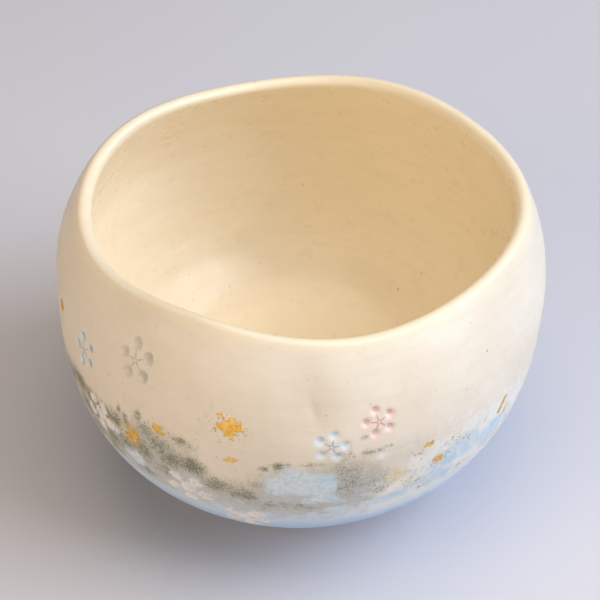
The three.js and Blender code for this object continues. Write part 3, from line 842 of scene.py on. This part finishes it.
# %% Glaze coat
def coat(name, rings, lower_rings, depth_at, under_depth):
    angle = np.linspace(0, 2 * np.pi, COLUMNS, endpoint=False)
    grid_angle, grid_distance = np.meshgrid(angle, rings)
    top = on_bowl(grid_angle, grid_distance, depth_at(grid_angle, grid_distance)).reshape(-1, 3)
    under_angle, under_distance = np.meshgrid(angle, lower_rings)
    under = on_bowl(under_angle, under_distance, under_depth).reshape(-1, 3)
    pole = on_bowl(0.0, MIDDLE, depth_at(np.zeros(1), np.full(1, MIDDLE))[0])
    under_pole = on_bowl(0.0, MIDDLE, under_depth)
    first_under = len(top)
    faces = []
    for k in range(len(rings) - 1):
        faces += ring_faces(k * COLUMNS, (k + 1) * COLUMNS, COLUMNS)
    for k in range(len(lower_rings) - 1):
        faces += ring_faces(first_under + (k + 1) * COLUMNS, first_under + k * COLUMNS, COLUMNS)
    faces += ring_faces(first_under, 0, COLUMNS)
    points = np.concatenate([top, under, [pole], [under_pole]])
    top_last = (len(rings) - 1) * COLUMNS
    under_last = first_under + (len(lower_rings) - 1) * COLUMNS
    for k in range(COLUMNS):
        after = (k + 1) % COLUMNS
        faces.append([top_last + k, top_last + after, len(points) - 2])
        faces.append([under_last + after, under_last + k, len(points) - 1])
    all_angle = np.concatenate([grid_angle.ravel(), under_angle.ravel(), [0, 0]])
    all_distance = np.concatenate([grid_distance.ravel(), under_distance.ravel(), [MIDDLE, MIDDLE]])
    return make_mesh(name, points, faces, glaze_values(all_angle, all_distance))


COAT_THICKNESS = 1.3
glaze_coat = coat("glaze_coat", wall_rings, under_rings, glaze_depth, SURFACE + COAT_THICKNESS)
dress(glaze_coat, glaze, "cream_glaze", "cream_glaze", "blue_glaze")

# %% [markdown]
# The clay under the glaze shows only beside the foot and on the underside. It is a fine lathe of its own,
# with the small carved point that the potter's knife leaves inside the ring. The ring's edges are softened
# by hand.

# %% Clay body and foot ring
def lathe(name, profile, columns=256):
    """A closed turned form. A profile that starts or ends on the axis closes over itself there."""
    angle = np.linspace(0, 2 * np.pi, columns, endpoint=False)
    points, faces, rings = [], [], []
    for radius, height in profile:
        on_axis = radius < 1e-6
        turn = angle[:1] if on_axis else angle
        rings.append((len(points), len(turn)))
        points += formed(np.full(len(turn), radius), turn, np.full(len(turn), height)).tolist()
    for (first, count), (second, next_count) in zip(rings, rings[1:]):
        if count == next_count == columns:
            faces += ring_faces(first, second, columns)
            continue
        for k in range(columns):
            after = (k + 1) % columns
            closing, opening = [first + k, first + after, second], [first, second + after, second + k]
            faces.append(opening if count == 1 else closing)
    if rings[0][1] == columns and rings[-1][1] == columns:
        faces += ring_faces(rings[-1][0], rings[0][0], columns)
    return make_mesh(name, points, faces)


CLAY_DEPTH, BARE_DEPTH = 1.7, 0.12  # below the solids' surface, under the glaze and beside the foot
UNDERSIDE_LIFT = 0.05
under_wall = [on_outline(d, CLAY_DEPTH) for d in np.linspace(GLAZE_LINE + 2, MIDDLE - 1, 90)]
bare_edge = [on_outline(d, BARE_DEPTH) for d in np.linspace(0.2, GLAZE_LINE + 1, 6)]
tokin_top = FOOT_HEIGHT - TOKIN_HEIGHT
tokin = [(0, tokin_top + 0.02), (0.8, tokin_top + 0.08), (2.0, tokin_top + 0.5), (3.4, tokin_top + 1.1)]
tokin.append((TOKIN_RADIUS, FOOT_HEIGHT))
underside = [(r, FOOT_HEIGHT + UNDERSIDE_LIFT) for r in np.linspace(6, foot_top_radius - 0.5, 10)]
profile = tokin + underside + bare_edge + under_wall
profile.append((0, float(on_outline(MIDDLE, CLAY_DEPTH)[1])))
clay_body = lathe("clay_body_fired", [(float(r), float(z)) for r, z in profile])
dress(clay_body, clay, "raku_clay", "clay_body")


def foot_profile():
    """The ring's section: soft corners, a flat resting face, and sides that flare towards the bowl."""
    outside, inside = FOOT_RADIUS, FOOT_RADIUS - FOOT_WIDTH
    corner = np.linspace(0, np.pi / 2, 6)
    points = [(inside + FOOT_BEVEL * (1 - np.cos(a)), FOOT_BEVEL * (1 - np.sin(a))) for a in corner]
    points += [(outside - FOOT_BEVEL * (1 - np.sin(a)), FOOT_BEVEL * (1 - np.cos(a))) for a in corner]
    side = np.linspace(0, 1, 8)[1:]
    top = FOOT_HEIGHT - LAYER_GAP
    points += [(outside + FOOT_FLARE * t ** 2, FOOT_BEVEL + (top - FOOT_BEVEL) * t) for t in side]
    points += [(inside - FOOT_FLARE * t ** 2, FOOT_BEVEL + (top - FOOT_BEVEL) * t) for t in side[::-1]]
    return points


foot = lathe("foot_ring_trimmed", foot_profile())
dress(foot, clay, "raku_clay", "foot_ring")

# %% [markdown]
# In each stamp lies slip. Every petal is a small cap that follows the dish and meets the glaze at its rim.
# The coloured slips are thin and keep inside the dish. The white slip is thick, was brushed wide over the
# stamp and ran together in the middle, so its caps stand a little proud and have ragged edges.

# %% Caps of slip
CAP_RINGS = 10
CAP_COLUMNS = 36
CAP_NOISE_RING = 6  # the noise of a cap's edge is read on a ring of this radius
CAP_SINK = 0.05  # the cap's edge sinks into the glaze by this
# Painted shade: the pool's spot lies up and to the right, so the dark pool colour there stands in for the
# shade under the dish's upper right wall.
POOL_AND_SHADE = (0.4, 0.42)  # where slip pooled, as a share of the radius; the bowl stood on its lip while it dried
RIM_CURVE = 1.4  # above 1, the colour of the pool reaches further
# For each slip: the cap's radius as a share of the petal's, how far it stands proud, and how ragged it is
CAPS = {
    "pink": (0.92, 0.05, 0.08),
    "blue": (0.92, 0.05, 0.08),
    "grey": (1.02, 0.05, 0.14),
    "white": (1.02, 0.15, 0.5),
}


def cap(spot_angle, spot_distance, radius, proud, ragged, seed, first):
    """Points, faces and rim values of one cap of slip."""
    reach = radius_at(spot_distance)
    points, rim = [], []
    for ring in range(CAP_RINGS + 1):
        share = ring / CAP_RINGS
        around = np.linspace(0, 2 * np.pi, CAP_COLUMNS if ring else 1, endpoint=False)
        x, y = CAP_NOISE_RING * np.cos(around), CAP_NOISE_RING * np.sin(around)
        wobble = soft_noise(x, y, 2.2, seed) + 0.5 * soft_noise(x, y, 0.9, seed + 7)
        off = radius * share * (1 + ragged * wobble * share)
        angle = spot_angle + off * np.cos(around) / reach
        distance = spot_distance + off * np.sin(around)
        rise = proud * (1 - smooth_step(share, 0.75, 1.0)) - CAP_SINK * smooth_step(share, 0.85, 1.0)
        points += on_bowl(angle, distance, glaze_depth(angle, distance) - rise).tolist()
        # The distance from the spot of pooled slip and painted shade
        from_pool_and_shade = np.hypot(share * np.cos(around) - POOL_AND_SHADE[0], share * np.sin(around) - POOL_AND_SHADE[1])
        rim += ((from_pool_and_shade / (1 + math.hypot(*POOL_AND_SHADE))) ** RIM_CURVE).tolist()
    faces = [[first, first + 1 + (k + 1) % CAP_COLUMNS, first + 1 + k] for k in range(CAP_COLUMNS)]
    for ring in range(CAP_RINGS - 1):
        inner = first + 1 + ring * CAP_COLUMNS
        faces += [quad[::-1] for quad in ring_faces(inner + CAP_COLUMNS, inner, CAP_COLUMNS)]
    return points, faces, rim


RAY_START, RAY_LENGTH = 0.3, 1.9
RAY_HALF = 0.36 * RAY_WIDTH  # half of its width at the start
RAY_TAPER = 0.7
RAY_LIFT = 0.02
RAY_STOPS = 8
RAY_RIM = -1.2  # below every value of a cap, so a ray has the tone that is its own


def ray(flower, direction, first):
    """A fine brushed line from a blossom's middle towards a petal. It narrows as the brush lifts."""
    distance = haze_line + flower.above
    reach = radius_at(distance)
    points = []
    for off in np.linspace(RAY_START, RAY_LENGTH, RAY_STOPS) * flower.size:
        half = RAY_HALF * flower.size * (1 - RAY_TAPER * (off / (RAY_LENGTH * flower.size)) ** 2)
        for side in (-1, 1):
            x = off * math.cos(direction) - side * half * math.sin(direction)
            y = off * math.sin(direction) + side * half * math.cos(direction)
            spot = (math.radians(flower.angle) + x / reach, distance + y)
            points.append(on_bowl(*spot, float(glaze_depth(*spot)) - RAY_LIFT).tolist())
    starts = range(first, first + 2 * RAY_STOPS - 2, 2)
    faces = [[start, start + 2, start + 3, start + 1] for start in starts]
    return points, faces, [RAY_RIM] * len(points)


print("cap of", CAP_RINGS, "rings and", CAP_COLUMNS, "columns")

# %% [markdown]
# One mesh holds one blossom, as one stamp made it: five caps, and five rays or, for the white slip, one
# more cap in the middle where the petals ran together.

# %% Slip in the blossoms
PETAL_SIZES, PETAL_FADES = (0.88, 1.08), (0, 0.3)  # how much a petal's radius and its fading vary
# Painted shade: a lower fading gives this blossom more of the dark pool colour that paints the shade in its
# dishes.
FADED = {"blossom_left_blue": -0.5}  # added to the fading; this one is nearer to its pool's colour
MIDDLE_CAP, MIDDLE_FADE = 0.55, 0.1  # the cap in the middle: its radius as a share of the reach, its fading


def blossom_piece(flower, seed):
    share, proud, ragged = CAPS[flower.slip]
    random = np.random.default_rng(seed)
    radius = share * PETAL_RADIUS * flower.size
    caps = []
    for spot in petal_spots(flower):
        size = radius * random.uniform(*PETAL_SIZES)
        caps.append((*spot, size, random.uniform(*PETAL_FADES) + FADED.get(flower.name, 0)))
    if flower.slip == "white":
        middle = (math.radians(flower.angle), haze_line + flower.above)
        caps.append((*middle, MIDDLE_CAP * PETAL_REACH * flower.size, MIDDLE_FADE))
    points, faces, rim = [], [], []
    for k, (angle, distance, size, faded) in enumerate(caps):
        more = cap(angle, distance, size, proud, ragged, seed + k, len(points))
        points, faces, rim = points + more[0], faces + more[1], rim + [value + faded for value in more[2]]
    for k in range(0 if flower.slip == "white" else PETALS):
        more = ray(flower, math.radians(flower.turn + PETAL_TURN * k), len(points))
        points, faces, rim = points + more[0], faces + more[1], rim + more[2]
    return make_mesh(flower.name + "_slip", points, faces, {"rim": rim})


for number, flower in enumerate(BLOSSOMS):
    dress(blossom_piece(flower, 200 + 10 * number), slips[flower.slip], flower.slip + "_slip", flower.name)

# %% [markdown]
# Gold leaf tears as it is laid, so a flake has a ragged edge with fragments round it. A fine grid of cells
# lies on the glaze, and only the cells inside a noisy outline are kept, top, underside and edges.

# %% Gold leaf
CELL = 0.15
LEAF_LIFT = 0.03
LEAF_THICKNESS = 0.05
CUT = 0.3  # a flake that is slimmer than this was cut
CUT_EDGE, TORN_EDGE = 0.85, 0.82  # where a strip and a torn flake end, as a share of half their size
FRAGMENTS, FARTHEST = (0.62, 0.9), 1.4  # how rare fragments are, where they are least rare, and how far off
HOLES = 0.72  # how rare holes are


def torn_cells(x, y, flake, seed):
    """Which cells are leaf. A strip is cut with a knife; a flake is torn, with holes and fragments."""
    turn = math.radians(flake.turn)
    u = (x * math.cos(turn) + y * math.sin(turn)) / (flake.size / 2)
    v = (-x * math.sin(turn) + y * math.cos(turn)) / (flake.size / 2 * flake.stretch)
    if flake.stretch < CUT:
        ragged = 0.12 * soft_noise(x, y, 0.5, seed)
        return np.maximum(np.abs(u), np.abs(v)) + ragged < CUT_EDGE
    off = np.hypot(u, v)
    torn = 0.55 * soft_noise(x, y, flake.size * 0.2, seed) + 0.4 * soft_noise(x, y, 0.5, seed + 50)
    keep = off + torn < TORN_EDGE
    rare = FRAGMENTS[0] + 0.5 * np.abs(off - FRAGMENTS[1])
    fragments = (soft_noise(x, y, 0.55, seed + 80) + 0.3 * torn > rare) & (off < FARTHEST)
    keep = (keep | fragments) & (soft_noise(x, y, 0.7, seed + 90) < HOLES)
    # The grid's edge stays empty, so that every cell has neighbours
    keep[[0, -1], :] = False
    keep[:, [0, -1]] = False
    return keep


def torn_leaf(flake, seed):
    half = flake.size * 0.75  # the grid is wider than the flake, for the fragments round it
    place = np.linspace(-half, half, int(2 * half / CELL) + 1)
    x, y = np.meshgrid(place, place, indexing="ij")
    keep = torn_cells(x, y, flake, seed)
    middle = haze_line + flake.above
    angle, distance = math.radians(flake.angle) + x / radius_at(middle), middle + y
    depth = glaze_depth(angle, distance) - LEAF_LIFT
    layers = [on_bowl(angle, distance, depth), on_bowl(angle, distance, depth - LEAF_THICKNESS)]
    index, points, faces = {}, [], []

    def corner(layer, i, j):
        key = (layer, i, j)
        if key not in index:
            index[key] = len(points)
            points.append(layers[layer][i, j].tolist())
        return index[key]

    for i, j in zip(*np.nonzero(keep[:-1, :-1])):
        quad = [(i, j), (i + 1, j), (i + 1, j + 1), (i, j + 1)]
        faces.append([corner(1, *p) for p in quad])
        faces.append([corner(0, *p) for p in quad[::-1]])
        for k, neighbour in enumerate([(i, j - 1), (i + 1, j), (i, j + 1), (i - 1, j)]):
            if not keep[neighbour]:
                a, b = quad[k], quad[(k + 1) % 4]
                faces.append([corner(0, *a), corner(0, *b), corner(1, *b), corner(1, *a)])
    return make_mesh(flake.name + "_torn", points, faces)


for seed, flake in enumerate(FLAKES, start=100):
    dress(torn_leaf(flake, seed), leaf, "gold_leaf", flake.name)

# %% [markdown]
# Dust falls from the leaf as it is torn. Each crumb is a small uneven chip, and the crumbs gather round
# the flakes and along the haze's edge on the right, where the potter sprinkled more of them.

# %% Gold dust
# Each sprinkle: angle, above, spread in millimetres, how many crumbs, and the largest crumb's radius
SPRINKLES = [
    (-105, 10.5, 2.6, 46, 0.22), (-104.5, 1.2, 1.8, 14, 0.18), (-131.5, -5, 2.6, 26, 0.2),
    (-123, 2.5, 2.0, 16, 0.18), (-62.9, 0.1, 0.9, 14, 0.32), (-60.4, 2.3, 0.4, 5, 0.3),
    (-57, -5.5, 1.5, 18, 0.3), (-54.4, 0.5, 1.1, 13, 0.26), (-49.9, -2.5, 1.3, 16, 0.28),
    (-44.4, -1.5, 0.5, 5, 0.22), (-64.4, -10.4, 1.1, 12, 0.34), (-60.3, -16.3, 0.8, 9, 0.3),
    (-69, -6, 1.6, 9, 0.26), (-55, -3, 4.5, 26, 0.16), (-45, -3, 4, 18, 0.15), (-84.5, 3, 2.2, 8, 0.2),
    (-112, -1, 3.5, 14, 0.16), (60, 4.5, 2.4, 24, 0.22), (125, 1.5, 2, 14, 0.2), (104, 12.5, 2, 10, 0.18),
    (84, -1, 4, 20, 0.18), (140, -2, 4, 20, 0.18),
]

CORNERS = 6  # of a crumb


def crumb(angle, distance, radius, random, first):
    """A closed chip with an uneven outline."""
    reach = radius_at(distance)
    around = np.linspace(0, 2 * np.pi, CORNERS, endpoint=False) + random.uniform(-0.3, 0.3, CORNERS)
    off = radius * random.uniform(0.55, 1.1, CORNERS)
    angles, distances = angle + off * np.cos(around) / reach, distance + off * np.sin(around)
    depth = glaze_depth(angles, distances) - LEAF_LIFT
    under, top = (on_bowl(angles, distances, depth - rise) for rise in (0, LEAF_THICKNESS))
    top_first = first + CORNERS
    faces = [list(range(top_first, top_first + CORNERS)), list(range(top_first - 1, first - 1, -1))]
    return np.concatenate([under, top]).tolist(), faces + ring_faces(first, top_first, CORNERS)


def gold_dust():
    random = np.random.default_rng(77)
    points, faces = [], []
    for place, above, spread, count, largest in SPRINKLES:
        middle = haze_line + above
        for _ in range(count):
            x, y = random.normal(0, spread, 2)
            radius = largest * random.uniform(0.3, 1.0)
            spot = (math.radians(place) + x / radius_at(middle), middle + y)
            more_points, more_faces = crumb(*spot, radius, random, len(points))
            points += more_points
            faces += more_faces
    return make_mesh("gold_dust", points, faces)


dust = gold_dust()
dress(dust, rubbed_leaf, "gold_leaf")

# %% [markdown]
# The floor is a wide sheet of pale grey paper, as a photographer would lay under the bowl. It isn't part
# of the bowl. Paper is matt, and its tone drifts very slightly over the width of the picture.

# %% Floor
def floor_material():
    material, tree, place = new_material("paper_floor")
    base = clouded(tree, place, 250, 1.0, [(0.3, "#d1d0d8"), (0.7, "#d5d4db")])
    surface = add(tree, "BsdfPrincipled", {"Base Color": base, "Roughness": 0.9})
    add(tree, "OutputMaterial", {"Surface": surface})
    return material


FLOOR_HALF = 3000.0
floor_corners = [(x * FLOOR_HALF, y * FLOOR_HALF, 0) for x, y in ((-1, -1), (1, -1), (1, 1), (-1, 1))]
floor = make_mesh("floor", floor_corners, [[0, 1, 2, 3]])
floor.data.materials.append(floor_material())
print("floor is", 2 * FLOOR_HALF * MM, "metres wide")

# %% [markdown]
# Light comes from one large soft window on the right, a little to the front. A weaker window stands at the
# front left and a skylight hangs above. The first is cool daylight, and the others fill the shade with a
# slightly warmer white, so that lit and shaded clay differ in tone. Turns are counted from the right side
# to the back.

# %% Light
WINDOWS = [
    {"name": "window", "turn": -10, "height": 42, "power": 10.6, "tint": "#e6f0ff"},
    {"name": "far_window", "turn": -132, "height": 25, "power": 4.5, "tint": "#ffe9ca"},
    {"name": "skylight", "turn": 0, "height": 90, "power": 4.4, "tint": "#fff4e6"},
]
WINDOW_AWAY = 1000.0
WINDOW_SIZE = 800.0
ROOM_TINT = "#fff4e8"
ROOM_STRENGTH = 0.02


def window_light(name, turn, height, power, tint):
    """A square area light aimed at the bowl. Turn and height are in degrees."""
    data = bpy.data.lights.new(name, "AREA")
    data.shape = "SQUARE"
    data.size = WINDOW_SIZE * MM
    data.energy = power
    data.color = colour(tint)[:3]
    lamp = bpy.data.objects.new(name, data)
    turn, height = math.radians(turn), math.radians(height)
    toward = Vector((math.cos(height) * math.cos(turn), math.cos(height) * math.sin(turn), math.sin(height)))
    lamp.location = toward * WINDOW_AWAY * MM
    lamp.rotation_euler = (-toward).to_track_quat("-Z", "Y").to_euler()
    bpy.context.scene.collection.objects.link(lamp)
    return lamp


windows = [window_light(**window) for window in WINDOWS]
room = bpy.data.worlds.new("room")
room.use_nodes = True
background = room.node_tree.nodes["Background"]
background.inputs["Color"].default_value = colour(ROOM_TINT)
background.inputs["Strength"].default_value = ROOM_STRENGTH
bpy.context.scene.world = room
bpy.context.scene.view_settings.view_transform = "Standard"
print("lights:", [lamp.name for lamp in windows], "and", room.name)

# %% [markdown]
# The camera stands where the photographer's did: level with the front, looking down at 41.5 degrees. A
# long lens keeps the bowl's proportions calm. These values come from fitting the bowl's outline to the
# picture.

# %% Camera
CAMERA_TILT = math.radians(41.5)
CAMERA_DISTANCE = 560.0
LENS = 135.1
SENSOR = 36.0
RIGHT_SHIFT, UP_SHIFT = 0.7, 6.03  # from the bowl's middle to the middle of the picture
camera_up = np.array([0, math.sin(CAMERA_TILT), math.cos(CAMERA_TILT)])
looking = np.array([0, math.cos(CAMERA_TILT), -math.sin(CAMERA_TILT)])
target = np.array([RIGHT_SHIFT, 0, BOWL_HEIGHT / 2]) + UP_SHIFT * camera_up
lens = bpy.data.cameras.new("camera")
lens.lens = LENS
lens.sensor_width = SENSOR
camera = bpy.data.objects.new("camera", lens)
camera.location = ((target - CAMERA_DISTANCE * looking) * MM).tolist()
camera.rotation_euler = (math.pi / 2 - CAMERA_TILT, 0, 0)
bpy.context.scene.collection.objects.link(camera)
bpy.context.scene.camera = camera
print("camera at", [round(v, 3) for v in camera.location])
